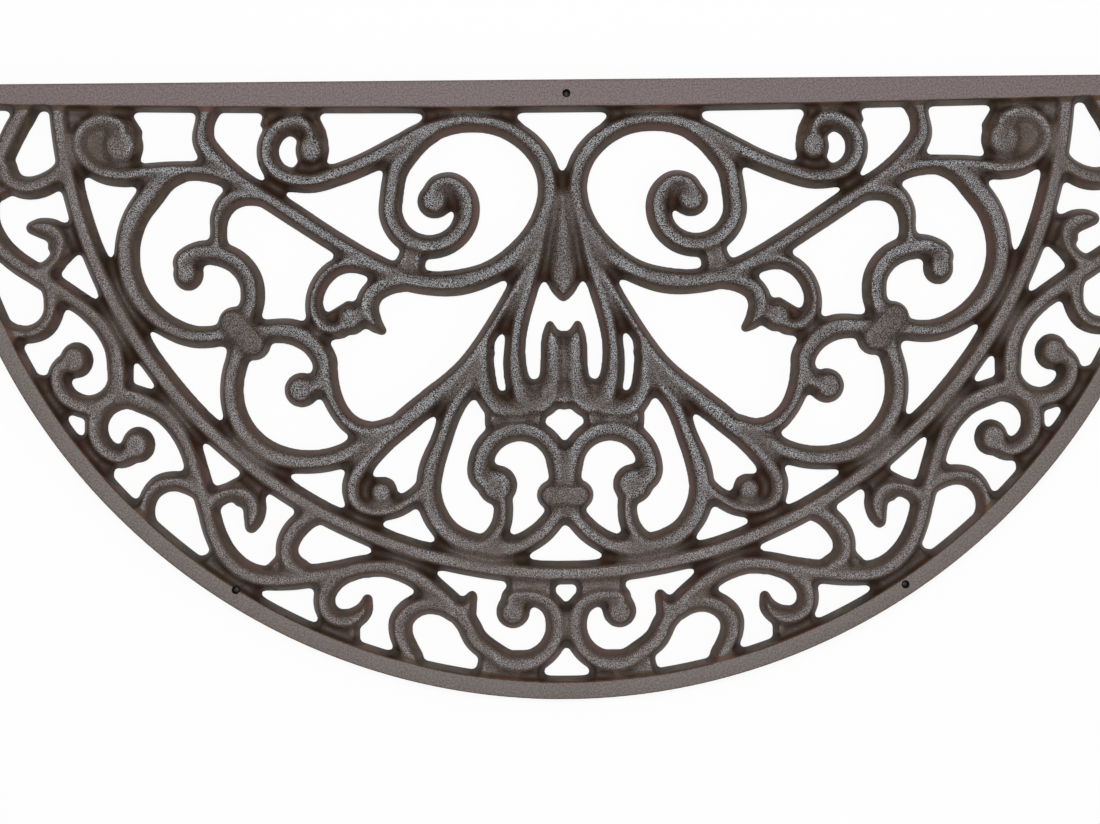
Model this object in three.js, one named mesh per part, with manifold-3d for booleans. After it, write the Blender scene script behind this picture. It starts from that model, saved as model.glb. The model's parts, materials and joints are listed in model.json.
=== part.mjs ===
// Half-round cast iron door mat: an openwork scroll grille inside a flat rim, on small rubber feet.
// Millimetres, +Z up. The straight bar is at +Y and the round rim at -Y. The feet stand on z = 0.

import * as THREE from 'three';
import { mergeVertices } from 'three/addons/utils/BufferGeometryUtils.js';
import Module from 'manifold-3d';

// Driving dimensions
const RIM_RADIUS = 380; // outer radius of the round rim
const BAR_SETBACK = 7; // outer edge of the straight bar, in front of the rim's arc centre
const THICKNESS = 12; // casting, flat back to the flat top of rim and bar
const RIM_WIDTH = 13; // rim at its base
const RIM_DRAFT = 3; // slope of the rim's inner wall, in plan
const BAR_WIDTH = 18.6; // straight bar at its base, at the middle
const BAR_TIP_WIDTH = 13.6; // the same at its tips: the inner edge is slightly bowed
const BAR_DRAFT = 2.6; // slope of the bar's inner wall, in plan
const EDGE = 0.7; // broken edge along the outer top of rim and bar
const ARCH_RADIUS = 304.5; // centre line of the inner half-round rib
const ARCH_WIDTH = 14.5;
const CROWN = 11.4; // height of the scroll bars
const DRAFT = 4; // slope of a scroll bar's walls, in plan
const LEAN = 1.2; // how far the crown moves to the outside of a tight turn
const LEAN_RADIUS = 25; // turns of this radius or less have the whole lean
const FULL_WIDTH = 10; // bars more slender than this stand lower
const SHOULDER = 1.5; // rounding of a bead's edge, in height
const COLLAR = 12.6; // height of the flat-topped collars
const COLLAR_DRAFT = 2.5; // slope of a collar's walls, in plan
const WEB_BOW = 3; // most that a web's side bends in between its corners
const HOLE_RADIUS = 2.5; // holes that take the feet's stems
const HOLE_SHIFT = 2.7; // the holes are drilled this far to one side of the casting's middle
const RIM_HOLE_INSET = 8.1; // rim holes, inside the rim's outer edge
const RIM_HOLE_ANGLE = 57.2; // degrees round from each tip
const BAR_HOLE_INSET = 8.4; // middle hole, inside the bar's outer edge
const TIP_HOLE_INSET = 22; // tip holes, inside the rim's radius
const TIP_HOLE_SETBACK = 6.8; // tip holes, inside the bar's outer edge
const FOOT_HEIGHT = 3; // rubber pad under the casting
const FOOT_RADIUS = 6;
const FOOT_EDGE = 0.8; // bevel round the pad's underside
const STEM_LENGTH = 8;
const CLEARANCE = 0.3; // between rubber and iron
const CHORD_ERROR = 0.4; // how far a facet may stand off a curve
const WIDTH_STEP = 4; // most that a bar's width changes along one facet
const SAMPLE = 1.2; // spacing at which a curve is measured
const MERGE = 0.15; // facets nearer to flat than this become one
const RIM_STEPS = 72; // facets round the rim

// The scroll drawing has its own units. Points are [u, v] or [u, v, width]: u is the distance from
// the middle of the mat and v the distance towards the round rim. One half is drawn. These three
// points on its middle line are the arc centre, the arch rib and the rim's outer edge.
const drawn = { centre: [0, 1.7], arch: [0, 303.7], rim: [0, 378.5] };
const MIRROR_ANGLE = 35.7; // the border repeats itself backwards about this ray

const wasm = await Module();
wasm.setup();

const arcCentreY = (RIM_RADIUS + BAR_SETBACK) / 2;
const rad = THREE.MathUtils.degToRad;

// A drawn point in the part's frame, seen from above, with its width in z. The field inside the arch
// grows with the arch, and the border fills the space that is left between arch and rim.
function place([u, v, w = 0]) {
  const fromCentre = ([a, b]) => Math.hypot(a - drawn.centre[0], b - drawn.centre[1]);
  const r = fromCentre([u, v]);
  const arch = fromCentre(drawn.arch);
  const border = fromCentre(drawn.rim) - arch;
  const inField = r * ARCH_RADIUS / arch;
  const inBorder = ARCH_RADIUS + (r - arch) * (RIM_RADIUS - ARCH_RADIUS) / border;
  const scale = (r < arch ? inField : inBorder) / r;
  return new THREE.Vector3(u * scale, (drawn.centre[1] - v) * scale, w * scale);
}

// n + 1 points on a curl about (cu, cv), its radius and width changing evenly with the angle
function curl(cu, cv, [r0, a0, w0], [r1, a1, w1], n) {
  return Array.from({ length: n + 1 }, (_, i) => {
    const t = i / n;
    const r = r0 + (r1 - r0) * t;
    const a = rad(a0 + (a1 - a0) * t);
    return [cu + r * Math.cos(a), cv + r * Math.sin(a), w0 + (w1 - w0) * t];
  });
}

// Solids

function toSolid(geometry) {
  const g = geometry.index ? geometry.clone() : geometry;
  g.deleteAttribute('normal');
  g.deleteAttribute('uv');
  const merged = mergeVertices(g, 1e-4);
  return new wasm.Manifold(new wasm.Mesh({
    numProp: 3,
    vertProperties: new Float32Array(merged.attributes.position.array),
    triVerts: new Uint32Array(merged.index.array),
  }));
}

function toGeometry(solid) {
  const mesh = solid.getMesh();
  const g = new THREE.BufferGeometry();
  g.setAttribute('position', new THREE.BufferAttribute(mesh.vertProperties.slice(), 3));
  g.setIndex(new THREE.BufferAttribute(mesh.triVerts.slice(), 1));
  g.computeVertexNormals();
  return g;
}

const join = (solids) => solids.reduce((a, b) => a.add(b));

const flat = (p) => new THREE.Vector3(p.x, p.y, 0);

// Keeps as few of the points as hold the curve to within CHORD_ERROR
function thin(points) {
  const kept = [points[0]];
  let from = 0;
  for (let i = 2; i < points.length; i += 1) {
    const chord = new THREE.Line3(flat(points[from]), flat(points[i]));
    const off = points.slice(from + 1, i).some((p) => {
      const q = flat(p);
      return chord.closestPointToPoint(q, true, new THREE.Vector3()).distanceTo(q) > CHORD_ERROR;
    });
    if (off || Math.abs(points[i].z - points[from].z) > WIDTH_STEP) {
      from = i - 1;
      kept.push(points[from]);
    }
  }
  kept.push(points[points.length - 1]);
  return kept;
}

// Closed skin through rings of equal size, flat at both ends
function loft(rings) {
  const n = rings[0].length;
  const faces = [];
  for (let i = 0; i + 1 < rings.length; i += 1) {
    for (let j = 0; j < n; j += 1) {
      const a = i * n + j;
      const b = i * n + ((j + 1) % n);
      faces.push(a, b, b + n, a, b + n, a + n);
    }
  }
  const last = (rings.length - 1) * n;
  for (let j = 1; j + 1 < n; j += 1) {
    faces.push(0, j + 1, j);
    faces.push(last, last + j, last + j + 1);
  }
  const g = new THREE.BufferGeometry();
  g.setAttribute('position', new THREE.Float32BufferAttribute(rings.flat(2), 3));
  g.setIndex(faces);
  return g;
}

// Half section of a scroll bar of a given base width: wall foot, shoulder, crown
function halfSection(width) {
  const foot = width / 2;
  const shoulder = Math.max(foot - DRAFT, foot * 0.45);
  const crown = CROWN * Math.min(1, (width + FULL_WIDTH / 2) / (1.5 * FULL_WIDTH));
  return { foot, shoulder, crown };
}

// A scroll bar along a run of points whose z is the base width. Its crown leans out in tight turns.
function sweep(points) {
  const run = thin(points);
  const rings = run.map((p, i) => {
    const before = flat(run[Math.max(i - 1, 0)]);
    const after = flat(run[Math.min(i + 1, run.length - 1)]);
    const arriving = flat(p).sub(before);
    const leaving = after.clone().sub(flat(p));
    const inside = i > 0 && i + 1 < run.length;
    const turn = inside ? arriving.cross(leaving).z / Math.pow(after.distanceTo(before) / 2, 3) : 0;
    const lean = LEAN * THREE.MathUtils.clamp(turn * LEAN_RADIUS, -1, 1);
    const along = after.sub(before).normalize();
    const { foot, shoulder, crown } = halfSection(p.z);
    const section = [[foot, 0], [shoulder - lean, crown], [-shoulder - lean, crown], [-foot, 0]];
    return section.map(([d, z]) => [p.x - along.y * d, p.y + along.x * d, z]);
  });
  return toSolid(loft(rings));
}

function stroke(points) {
  const curve = new THREE.CatmullRomCurve3(points.map(place), false, 'centripetal');
  return sweep(curve.getSpacedPoints(Math.ceil(curve.getLength() / SAMPLE)));
}

// The round end of a scroll, or a pointed tip when small
function bead([u, v], radius, stretch = 1) {
  const p = place([u, v, radius * 2]);
  const { foot, shoulder, crown } = halfSection(p.z);
  const profile = [
    [0, 0], [foot, 0], [shoulder * 1.08, crown - SHOULDER], [shoulder / 2, crown - SHOULDER / 8], [0, crown],
  ];
  const g = new THREE.LatheGeometry(profile.map(([x, y]) => new THREE.Vector2(x, y)), 12);
  g.rotateX(Math.PI / 2);
  g.scale(1, stretch, 1);
  g.translate(p.x, p.y, 0);
  return toSolid(g);
}

// Low metal filling a corner or the hollow of a volute, its sides bent in like a cast fillet
function web(points, height) {
  const corners = points.map(place).map(({ x, y }) => new THREE.Vector2(x, y));
  const inward = THREE.ShapeUtils.isClockWise(corners) ? -1 : 1;
  const shape = new THREE.Shape();
  shape.moveTo(corners[0].x, corners[0].y);
  corners.forEach((a, i) => {
    const b = corners[(i + 1) % corners.length];
    const side = b.clone().sub(a);
    const bow = inward * Math.min(side.length() * 0.2, WEB_BOW) / side.length();
    const middle = a.clone().add(b).divideScalar(2);
    shape.quadraticCurveTo(middle.x - side.y * bow, middle.y + side.x * bow, b.x, b.y);
  });
  return toSolid(new THREE.ExtrudeGeometry(shape, { depth: height, bevelEnabled: false, curveSegments: 2 }));
}

// A collar: a flat-topped block with round ends, wider at its base
function collar([u, v], length, width, turn) {
  const p = place([u, v, 1]);
  const outline = (inset, z) => {
    const l = length * p.z - inset * 2;
    const w = width * p.z - inset * 2;
    const s = new THREE.Shape();
    s.absarc(l / 2 - w / 2, 0, w / 2, -Math.PI / 2, Math.PI / 2);
    s.absarc(w / 2 - l / 2, 0, w / 2, Math.PI / 2, 1.5 * Math.PI);
    return s.extractPoints(4).shape.slice(0, -1).map((q) => [q.x, q.y, z]);
  };
  const g = loft([
    outline(0, 0),
    outline(COLLAR_DRAFT, COLLAR - COLLAR_DRAFT / 2),
    outline(COLLAR_DRAFT * 1.5, COLLAR),
  ]);
  g.rotateZ(rad(turn));
  g.translate(p.x, p.y, 0);
  return toSolid(g);
}

// Scrolls of the inner field

const field = [
  // Small volute, then the long loop under the straight bar, up into the diagonal
  stroke([
    [150, 45, 11], [151, 38, 12], ...curl(160, 49, [16.6, -105, 13.5], [17.3, 77, 14], 6),
    [151, 67.5, 13.5],
    [136, 63.5, 14], [118, 56.5, 14], [100, 47.5, 14.5], [82, 38.5, 14.5], [66, 33.5, 13], [50, 32.7, 12.5],
    [36, 35.5, 13], [22, 43.5, 14], [12, 55.5, 14.5], [8, 69, 14.5], [9, 83, 15], [15, 98, 16],
    [27, 112, 16], [43.6, 122.9, 15], [62, 128.5, 16], [80, 129, 15], [98, 125, 15], [112, 118.5, 14],
    [137, 103.5, 13.5], [163, 86.5, 14], [184, 73, 13], [199.5, 61.7, 14], [210, 51.5, 15], [215.5, 42, 14],
    [214.5, 31, 12.5], [211, 20, 16],
  ]),
  bead([150.3, 48.5], 10.3, 1.1),
  // Big volute hanging from the loop
  stroke([
    [76, 37.5, 12], [85.5, 43.3, 14], [92.8, 51, 14.5], [99.7, 61.5, 14.5],
    ...curl(79.5, 84, [24.4, -17, 14.5], [22.1, 190, 15], 8),
    [61.5, 73, 14.5], [67.5, 68.8, 13], [75, 70.5, 13], [79, 76.5, 13],
  ]),
  bead([77, 79.8], 10.6),
  // Corner volute, its tail running into the diagonal
  stroke([
    [263, 42, 13], [264, 34.5, 14], [271.5, 31.2, 14], [281, 32, 14], [288, 38.5, 13], [289, 47, 13],
    [284.5, 55, 13], [276, 61, 13], [263, 63.3, 13], [247, 61.3, 12.5], [231, 60.5, 12.5], [215, 61, 12],
    [200, 65.5, 12], [184, 74, 12],
  ]),
  bead([264, 45.5], 12.3, 1.08),
  // Link from the diagonal down to the middle curl
  stroke([
    [166, 83, 11], [178, 77.3, 12], [190, 75.5, 12.5], [200.3, 78.7, 13.5], [206, 87.5, 12],
    [207, 98, 10.5], [207, 108, 12.5],
  ]),
  // Middle curl above the collar
  stroke([
    [225.5, 122, 12], [228.3, 115, 13], [219, 110, 15], [207, 110.5, 15], [195.5, 116, 15],
    [188.3, 126, 15], [187, 138, 15], [191, 152, 15],
  ]),
  bead([225.4, 122.5], 9.3, 1.08),
  // Big C from the corner volute's tail to the collar
  stroke([
    [226, 60, 12], [238.5, 65.5, 15], ...curl(211.5, 111, [50.8, -45, 16.5], [50, 78, 13.8], 7),
    [206, 159.5, 13.5], [191, 158, 13],
  ]),
  // Below the collar: the long sweep back to the middle, and the small curl
  stroke([
    [193, 160, 14], [196.5, 174, 14.5], ...curl(158, 192, [41.8, -6, 14.5], [43.3, 76, 15.3], 4),
    [152, 235.8, 14.5], [136, 233, 14.5], [120, 225, 14.5], [106, 216, 14],
  ]),
  stroke([
    [191, 158, 13], [176, 157, 14.5], [162, 158, 16], [150.5, 165, 15.5], [144, 175.5, 15.5],
    [145, 184.5, 14.5], [150.5, 190.5, 14], [157, 192.5, 14],
  ]),
  bead([157.8, 192.6], 10.6),
  stroke([
    [144, 178, 15], [140.5, 194, 13], [135, 206, 12], [127.2, 214.3, 12.5], [116, 217.5, 12], [102, 215, 13],
  ]),
  // Ear loop beside the diagonal, with its leaf
  stroke([
    [108, 120.5, 14], [120, 116.8, 14], [130, 117, 11.5], [139.5, 121, 11], [146.5, 129, 11],
    [149.8, 139, 11], [148.3, 149, 12], [141.5, 155.8, 12.5], [132, 156.3, 11],
  ]),
  bead([128, 150.3], 9.8),
  stroke([
    [92, 126.5, 14], [106, 129.5, 14], [115, 135, 14.5], [118, 143, 14.5], [114.5, 152, 11], [109.8, 157, 6],
  ]),
  bead([109.3, 157.3], 2.8),
  // Stem from the loop down into the ring beside the lower lobe
  stroke([
    [8.5, 80, 12], [12, 98, 12], [18.5, 116, 11.5], [28, 132, 11], [42, 155, 11], [49, 166, 11.5],
    [57, 177.3, 12.5], [66, 187.5, 14.5], [80, 199, 15.5], [95.7, 212, 16], [110, 225, 14.5],
    [121, 238, 14], [127.3, 250, 13.8], [125.5, 260, 13], [116, 265.3, 12], [103, 264.5, 12],
    [92, 258.5, 12], [82, 250, 12],
  ]),
  bead([109.8, 254.3], 9, 1.05),
  // Strand that turns round the lower lobe into the middle collar
  stroke([
    [47, 169, 13], [58, 190, 13.5], [67.3, 205.7, 13], [74.3, 223.7, 13.5], [80.4, 241, 15.5],
    [82, 254, 15.5], [78.9, 267.2, 16], [71, 278.5, 15.5], [59, 285.5, 15.5], [45, 287.5, 14], [30, 287, 13],
  ]),
  stroke([[0, 262, 14], [6, 270, 14], [15, 279.7, 14.5], [27, 286.8, 14], [40, 290, 13], [53, 289, 13]]),
  // Tulip: inner strand, sepal and petal
  stroke([
    [11, 92, 10], [15.5, 112, 13], [21, 130, 14], [26, 148, 14], [28.8, 164, 14], [29.2, 178, 14.5],
    [27, 190, 15], [22, 199, 14.5], [13, 202.5, 14.5], [3, 199, 14],
  ]),
  stroke([
    [46, 161, 10], [48.5, 173, 12.5], [48.5, 186, 14.5], [46.3, 196, 14.5], [40, 203.5, 14], [30, 206, 12],
    [20, 205, 12],
  ]),
  stroke([[8.3, 154.5, 4], [7.8, 160, 8], [6.8, 168, 12], [6.8, 178, 14.5], [8, 189, 15], [13, 198, 15]]),
  bead([8.2, 154.8], 2.3),
  // Lower lobe and its thin stem
  stroke([
    [2, 252, 14], ...curl(27, 241, [23.3, -176, 14.5], [24, 8, 15.5], 8), [44.5, 251.5, 15],
  ]),
  bead([40.8, 250.8], 12.2),
  stroke([[38, 256, 12], [37.3, 265, 12], [38.8, 274.5, 12.5], [45, 283, 12], [55, 288, 12]]),
  // Collar of the outer knot
  collar([192, 158.3], 37, 20, -133),
  // Flat link between the big volute and the loop, and metal in the corners
  web([[82, 111.5], [96, 105], [102, 118], [96, 124], [83.5, 122]], 10.4),
  web([[28, 22], [81, 22], [81, 27.5], [88, 34], [66, 34], [40, 34], [22, 35], [29, 28.5]], 8),
  web([
    [146.5, 21], [177, 21], [176.5, 24.5], [180, 28.5], [182, 34], [166, 38], [150, 48], [140.3, 44],
    [142, 36.5], [145.5, 29.5],
  ], 8),
  web([
    [262.5, 19], [302, 19], [302, 60], [289, 57], [262, 57], [253, 46], [252.3, 36], [257, 28.5], [262.5, 24],
  ], 7),
  web([[202, 19], [223, 19], [218, 25.5], [208, 27], [205, 25]], 9),
  web([[140, 57], [160, 56], [163, 66], [142, 66]], 5),
  web([[270, 40], [284, 40], [282, 56], [266, 60]], 6),
  web([[103, 247], [127, 250], [124, 262], [102, 262]], 6),
  web([[124, 140], [130, 139], [148, 150], [140, 158], [128, 158]], 6),
  web([[3, 186], [17, 187], [30, 192], [24, 203], [3, 203]], 8),
  web([[34, 196], [50, 190], [44, 204], [26, 208]], 7),
  web([[5, 207], [48, 207], [48, 216], [12, 218]], 8),
  web([[139, 160], [150, 150], [160, 152], [150, 164]], 7),
];

// Scrolls of the border, from the middle out to the ray about which it repeats

const middleBorder = [
  // Middle C scroll and the wave that leaves it
  stroke([
    [32, 324, 12], [32.5, 318.3, 13], [25, 316.8, 12.5], [16, 318.3, 13.5],
    ...curl(28, 335, [22.6, 210, 14.5], [23, 47, 14.5], 7), [53.7, 344, 14.8],
    [60, 333, 14.5], [68, 323.5, 15], [77.5, 314.5, 15], [88, 306.5, 15], [99, 301, 15], [111, 298.5, 14],
    [123, 299.5, 14],
  ]),
  bead([32, 326.8], 10.3),
  stroke([[62, 334, 14], [60, 325.5, 12.5], [57, 318.5, 7.5]]),
  bead([56.6, 317.3], 3.3),
  // Finger down to the rim
  stroke([
    [66, 328, 12], [75, 322.5, 13.5], [85, 321.5, 14], [93.6, 325, 14.6], [99, 331.6, 15],
    [99.2, 340, 14.5], [95.5, 348.5, 13.5], [91, 356, 13],
  ]),
  // Hook beside it
  stroke([
    [118, 298.5, 13], [131, 301.3, 14], [140.5, 308, 14], [145, 316.5, 13.5], [144, 325, 13.5],
    [137.5, 330.3, 13], [129, 330.5, 13.5], [122, 325.8, 11], [119.5, 319.5, 6.5],
  ]),
  bead([119.4, 318.7], 3.2),
  web([[7, 306], [35, 306], [36, 313], [40, 320], [8, 322], [6, 316]], 8),
  web([[12, 350], [52, 350], [54, 359], [56, 366], [12, 366], [14, 363]], 8),
  web([[124, 334], [148, 328], [149, 333], [152, 338], [124, 344]], 8),
  web([[54, 338], [60, 325], [70, 324], [66, 334]], 6),
];

const repeatedBorder = [
  // Wave along the rim, up into the C volute
  stroke([
    [108, 298.5, 14], [121, 299, 14], [136, 302.3, 15], [152, 304.3, 14.5], [168, 305.8, 14.5],
    [183, 305, 14.5],
    [195, 300, 14.5], [204.5, 290.5, 14.5], [210.6, 278.2, 14], [214.5, 264.5, 14], [218, 251, 14],
    [221.3, 239.3, 14], [225.5, 226.7, 14], [232, 214.5, 14.5], [241.5, 204.5, 15],
    ...curl(263, 214.5, [19, -122, 16], [18, 78, 13.3], 7), [259, 229.5, 13],
  ]),
  bead([256.2, 224.6], 10.2, 1.08),
  // Leaf curl under the arch
  stroke([
    [215, 262, 13], [207.7, 256, 12.5], [199.5, 253.3, 12], [191, 255, 13.5], [187, 261.5, 14.5],
    [187.3, 269, 12.5], [188.7, 274, 8.4],
  ]),
  bead([188.8, 274.6], 4),
  // Link from the arch to the wave
  stroke([
    [146, 265, 14], [156, 270.5, 14], [163.5, 277.8, 14.5], [167.3, 286.5, 14], [166, 295, 14],
    [157, 303, 14],
  ]),
  // Finger out to the rim
  stroke([
    [217, 254, 13], [225.5, 248.8, 13.5], [235, 246.8, 12.5], [243.5, 248.8, 12.5], [249.5, 255, 11.5],
    [252, 264, 11], [251, 272, 11],
  ]),
  web([[180, 250], [196, 244], [206, 249], [198, 262], [180, 266]], 8),
  web([[172, 290], [180, 298], [170, 306], [160, 300]], 8),
  web([[178, 312], [212, 286], [216, 291], [222, 292], [200, 316]], 8),
  web([[271, 240], [284, 222], [290, 218], [296, 225], [272, 252]], 7),
];

// The arch rib, all round from bar to bar
function arch() {
  const around = Array.from({ length: 177 }, (_, i) => rad(i + 2));
  return sweep(around.map((a) => (
    new THREE.Vector3(ARCH_RADIUS * Math.cos(a), -ARCH_RADIUS * Math.sin(a), ARCH_WIDTH)
  )));
}

// Rim: its section turned about the arc centre
function rim() {
  const inner = RIM_RADIUS - RIM_WIDTH;
  const profile = [
    [inner, 0], [RIM_RADIUS, 0], [RIM_RADIUS, THICKNESS - EDGE], [RIM_RADIUS - EDGE, THICKNESS],
    [inner + RIM_DRAFT, THICKNESS], [inner + RIM_DRAFT - EDGE, THICKNESS - EDGE], [inner, 0],
  ].map(([x, y]) => new THREE.Vector2(x, y));
  const g = new THREE.LatheGeometry(profile, RIM_STEPS);
  g.rotateX(Math.PI / 2);
  return toSolid(g);
}

// Straight bar across the arc: its section lofted from tip to tip, widest in the middle
function bar() {
  const steps = 8;
  return toSolid(loft(Array.from({ length: steps + 1 }, (_, i) => {
    const x = 2 * i / steps - 1;
    const width = BAR_WIDTH + (BAR_TIP_WIDTH - BAR_WIDTH) * x * x;
    const section = [
      [0, 0], [0, THICKNESS - EDGE], [EDGE, THICKNESS], [width - BAR_DRAFT, THICKNESS],
      [width - BAR_DRAFT + EDGE, THICKNESS - EDGE], [width, 0],
    ];
    return section.map(([y, z]) => [x * RIM_RADIUS, -BAR_SETBACK - y, z]);
  })));
}

function disc(radius, z0, z1, segments) {
  const g = new THREE.CylinderGeometry(radius, radius, z1 - z0, segments);
  g.rotateX(Math.PI / 2);
  g.translate(0, 0, (z0 + z1) / 2);
  return toSolid(g);
}

// Everything on the rim's side of a line at a distance in front of the arc centre
function inFrontOf(setback) {
  const g = new THREE.BoxGeometry(3 * RIM_RADIUS, 2 * RIM_RADIUS, 4 * THICKNESS);
  g.translate(0, -RIM_RADIUS - setback, 0);
  return toSolid(g);
}

// Foot positions, about the arc centre
const rimHole = RIM_RADIUS - RIM_HOLE_INSET;
const rimHoleX = rimHole * Math.cos(rad(RIM_HOLE_ANGLE));
const rimHoleY = -rimHole * Math.sin(rad(RIM_HOLE_ANGLE));
const tipHoleX = RIM_RADIUS - TIP_HOLE_INSET;
const tipHoleY = -BAR_SETBACK - TIP_HOLE_SETBACK;
const feet = {
  rubber_foot_bar: [HOLE_SHIFT, -BAR_SETBACK - BAR_HOLE_INSET],
  rubber_foot_rim_left: [HOLE_SHIFT - rimHoleX, rimHoleY],
  rubber_foot_rim_right: [HOLE_SHIFT + rimHoleX, rimHoleY],
  rubber_foot_tip_left: [HOLE_SHIFT - tipHoleX, tipHoleY],
  rubber_foot_tip_right: [HOLE_SHIFT + tipHoleX, tipHoleY],
};

function casting() {
  const ray = [-Math.sin(rad(MIRROR_ANGLE)), -Math.cos(rad(MIRROR_ANGLE)), 0];
  const repeat = join(repeatedBorder);
  const half = join([...field, ...middleBorder, repeat, repeat.mirror(ray)]);
  const centre = [
    // Teardrop between the two loops, on the middle line
    stroke([
      [0, 66, 3], [0, 78, 9.5], [0, 92, 14], [0, 107, 18], [0, 119, 21], [0, 127, 20], [0, 133.5, 13],
      [0, 139, 4],
    ]),
    // Metal between the two petals, and the collar of the lower lobes
    stroke([[0, 160, 4], [0, 170, 6], [0, 190, 8], [0, 202, 10]]),
    collar([0, 257], 34, 18, 0),
  ];
  const scrolls = join([half, half.mirror([1, 0, 0]), ...centre, arch()]);
  const outline = disc(RIM_RADIUS - RIM_WIDTH / 2, -THICKNESS, 2 * THICKNESS, RIM_STEPS);
  const beam = bar().intersect(disc(RIM_RADIUS - 0.01, -THICKNESS, 2 * THICKNESS, RIM_STEPS));
  const hoop = rim().intersect(inFrontOf(BAR_SETBACK + 0.01));
  const holes = Object.values(feet).map(([x, y]) => (
    disc(HOLE_RADIUS, -THICKNESS, 2 * THICKNESS, 20).translate([x, y, 0])
  ));
  return join([scrolls.intersect(outline).intersect(inFrontOf(BAR_SETBACK + BAR_WIDTH / 2)), beam, hoop])
    .subtract(join(holes))
    .asOriginal()
    .simplify(MERGE);
}

// The object

const group = new THREE.Group();
group.position.set(0, arcCentreY, 0);

const iron = new THREE.MeshStandardMaterial({ color: 0x5d5655, roughness: 0.62, metalness: 0.75 });
const rubber = new THREE.MeshStandardMaterial({ color: 0x141414, roughness: 0.85, metalness: 0 });

const mat = new THREE.Mesh(toGeometry(casting()), iron);
mat.name = 'mat_casting';
mat.position.z = FOOT_HEIGHT;
group.add(mat);

// Rubber foot: a pad under the casting and a stem up its hole
const padTop = FOOT_HEIGHT - CLEARANCE;
const stemTop = FOOT_HEIGHT + STEM_LENGTH;
const footProfile = [
  [0, 0], [FOOT_RADIUS - FOOT_EDGE, 0], [FOOT_RADIUS, FOOT_EDGE], [FOOT_RADIUS, padTop],
  [HOLE_RADIUS - CLEARANCE, padTop], [HOLE_RADIUS - CLEARANCE, stemTop], [0, stemTop],
].map(([x, y]) => new THREE.Vector2(x, y));

for (const [name, [x, y]] of Object.entries(feet)) {
  const shape = new THREE.LatheGeometry(footProfile, 20);
  shape.rotateX(Math.PI / 2);
  const foot = new THREE.Mesh(shape, rubber);
  foot.name = name;
  foot.position.set(x, y, 0);
  group.add(foot);
}

export default group;
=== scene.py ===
"""Cast iron door mat, half-round and openwork, on rubber feet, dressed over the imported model."""

import json
import math

import bpy
import numpy as np
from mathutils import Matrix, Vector

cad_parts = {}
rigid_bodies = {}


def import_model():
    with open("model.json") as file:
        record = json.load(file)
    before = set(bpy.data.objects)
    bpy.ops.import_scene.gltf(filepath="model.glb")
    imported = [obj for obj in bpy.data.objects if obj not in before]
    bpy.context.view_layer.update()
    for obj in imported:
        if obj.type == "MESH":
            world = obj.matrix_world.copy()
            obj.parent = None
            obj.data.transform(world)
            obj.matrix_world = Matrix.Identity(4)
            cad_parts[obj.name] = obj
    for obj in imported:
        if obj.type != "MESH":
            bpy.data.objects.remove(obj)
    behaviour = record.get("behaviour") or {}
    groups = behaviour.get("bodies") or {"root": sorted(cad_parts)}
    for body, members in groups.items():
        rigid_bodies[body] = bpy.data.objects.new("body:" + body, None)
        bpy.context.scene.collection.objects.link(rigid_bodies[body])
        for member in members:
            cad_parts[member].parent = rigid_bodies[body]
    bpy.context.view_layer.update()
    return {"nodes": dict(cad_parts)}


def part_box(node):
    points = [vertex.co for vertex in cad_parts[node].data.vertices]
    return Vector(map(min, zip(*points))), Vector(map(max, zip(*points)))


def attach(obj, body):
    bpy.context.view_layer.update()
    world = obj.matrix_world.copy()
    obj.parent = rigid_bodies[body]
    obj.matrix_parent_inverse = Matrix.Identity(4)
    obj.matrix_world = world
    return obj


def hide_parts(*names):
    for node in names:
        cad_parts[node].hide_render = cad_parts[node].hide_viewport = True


for leftover in list(bpy.data.objects):
    bpy.data.objects.remove(leftover)
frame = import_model()

MM = 0.001

# Sizes of the casting, in millimetres, as the model has them
RIM_RADIUS = 380.0
BAR_SETBACK = 7.0
THICKNESS = 12.0
RIM_WIDTH = 13.0
RIM_DRAFT = 3.0
BAR_WIDTH = 18.6
BAR_TIP_WIDTH = 13.6
BAR_DRAFT = 2.6
ARCH_RADIUS = 304.5
ARCH_WIDTH = 14.5
CROWN = 11.4  # height of the scrolls
DRAFT = 4.0  # how far a scroll's wall leans in over that height
FULL_WIDTH = 10.0  # bars narrower than this are lower
COLLAR = 12.6  # height of the collars
COLLAR_DRAFT = 2.5
HOLE_RADIUS = 2.5
STEM = 2.2  # radius of a foot's stem
ARC_CENTRE_Y = (RIM_RADIUS + BAR_SETBACK) / 2
DRAWN_CENTRE = 1.7  # the scroll drawing's own units, as in the model
DRAWN_ARCH = 303.7
DRAWN_RIM = 378.5
MIRROR_ANGLE = 35.7  # degrees; the border's repeat is mirrored about this ray

# The cast surface
GRID = 0.6  # spacing of the height map
MARGIN = 6  # of the height map round the mat
STEP = 0.5  # spacing of the samples along a scroll bar
LAND = 0.6  # upright band at the foot of each wall
FLOOR = -10.0  # depth given to the openings
SLOPE = CROWN / DRAFT
ARCH_SPAN = (2, 178, 0.1)  # degrees: where the arch starts and ends, and the step along it
OVERHANG = 0.7  # how far a crown's curve runs past the foot of the wall that cuts it off
FULLNESS = 2.1  # 2 rounds a bar's crown like an ellipse, more makes it broader
BEAD_FULLNESS = 2.7  # the same for the ball ends
ARCH_FULLNESS = 3.6  # and for the arch
LEAN = 2.7  # how far the crown moves to the outside of a tight turn
LEAN_RADIUS = 20.0  # turns of this radius or less have the whole lean
LEAN_RUN = 16.0  # length over which the lean comes and goes
END = 4.0  # half-width at the very end of a bar, which widens from there
CROWN_ROUND = 1.4  # radius worn on the edges of the scrolls
FRAME_ROUND = 0.8  # the same on rim, bar and collars
FILLET = 2.6  # radius in the corners between bars
JOIN_FILL = 3.6  # larger radius that fills the joins away from the openings
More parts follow.
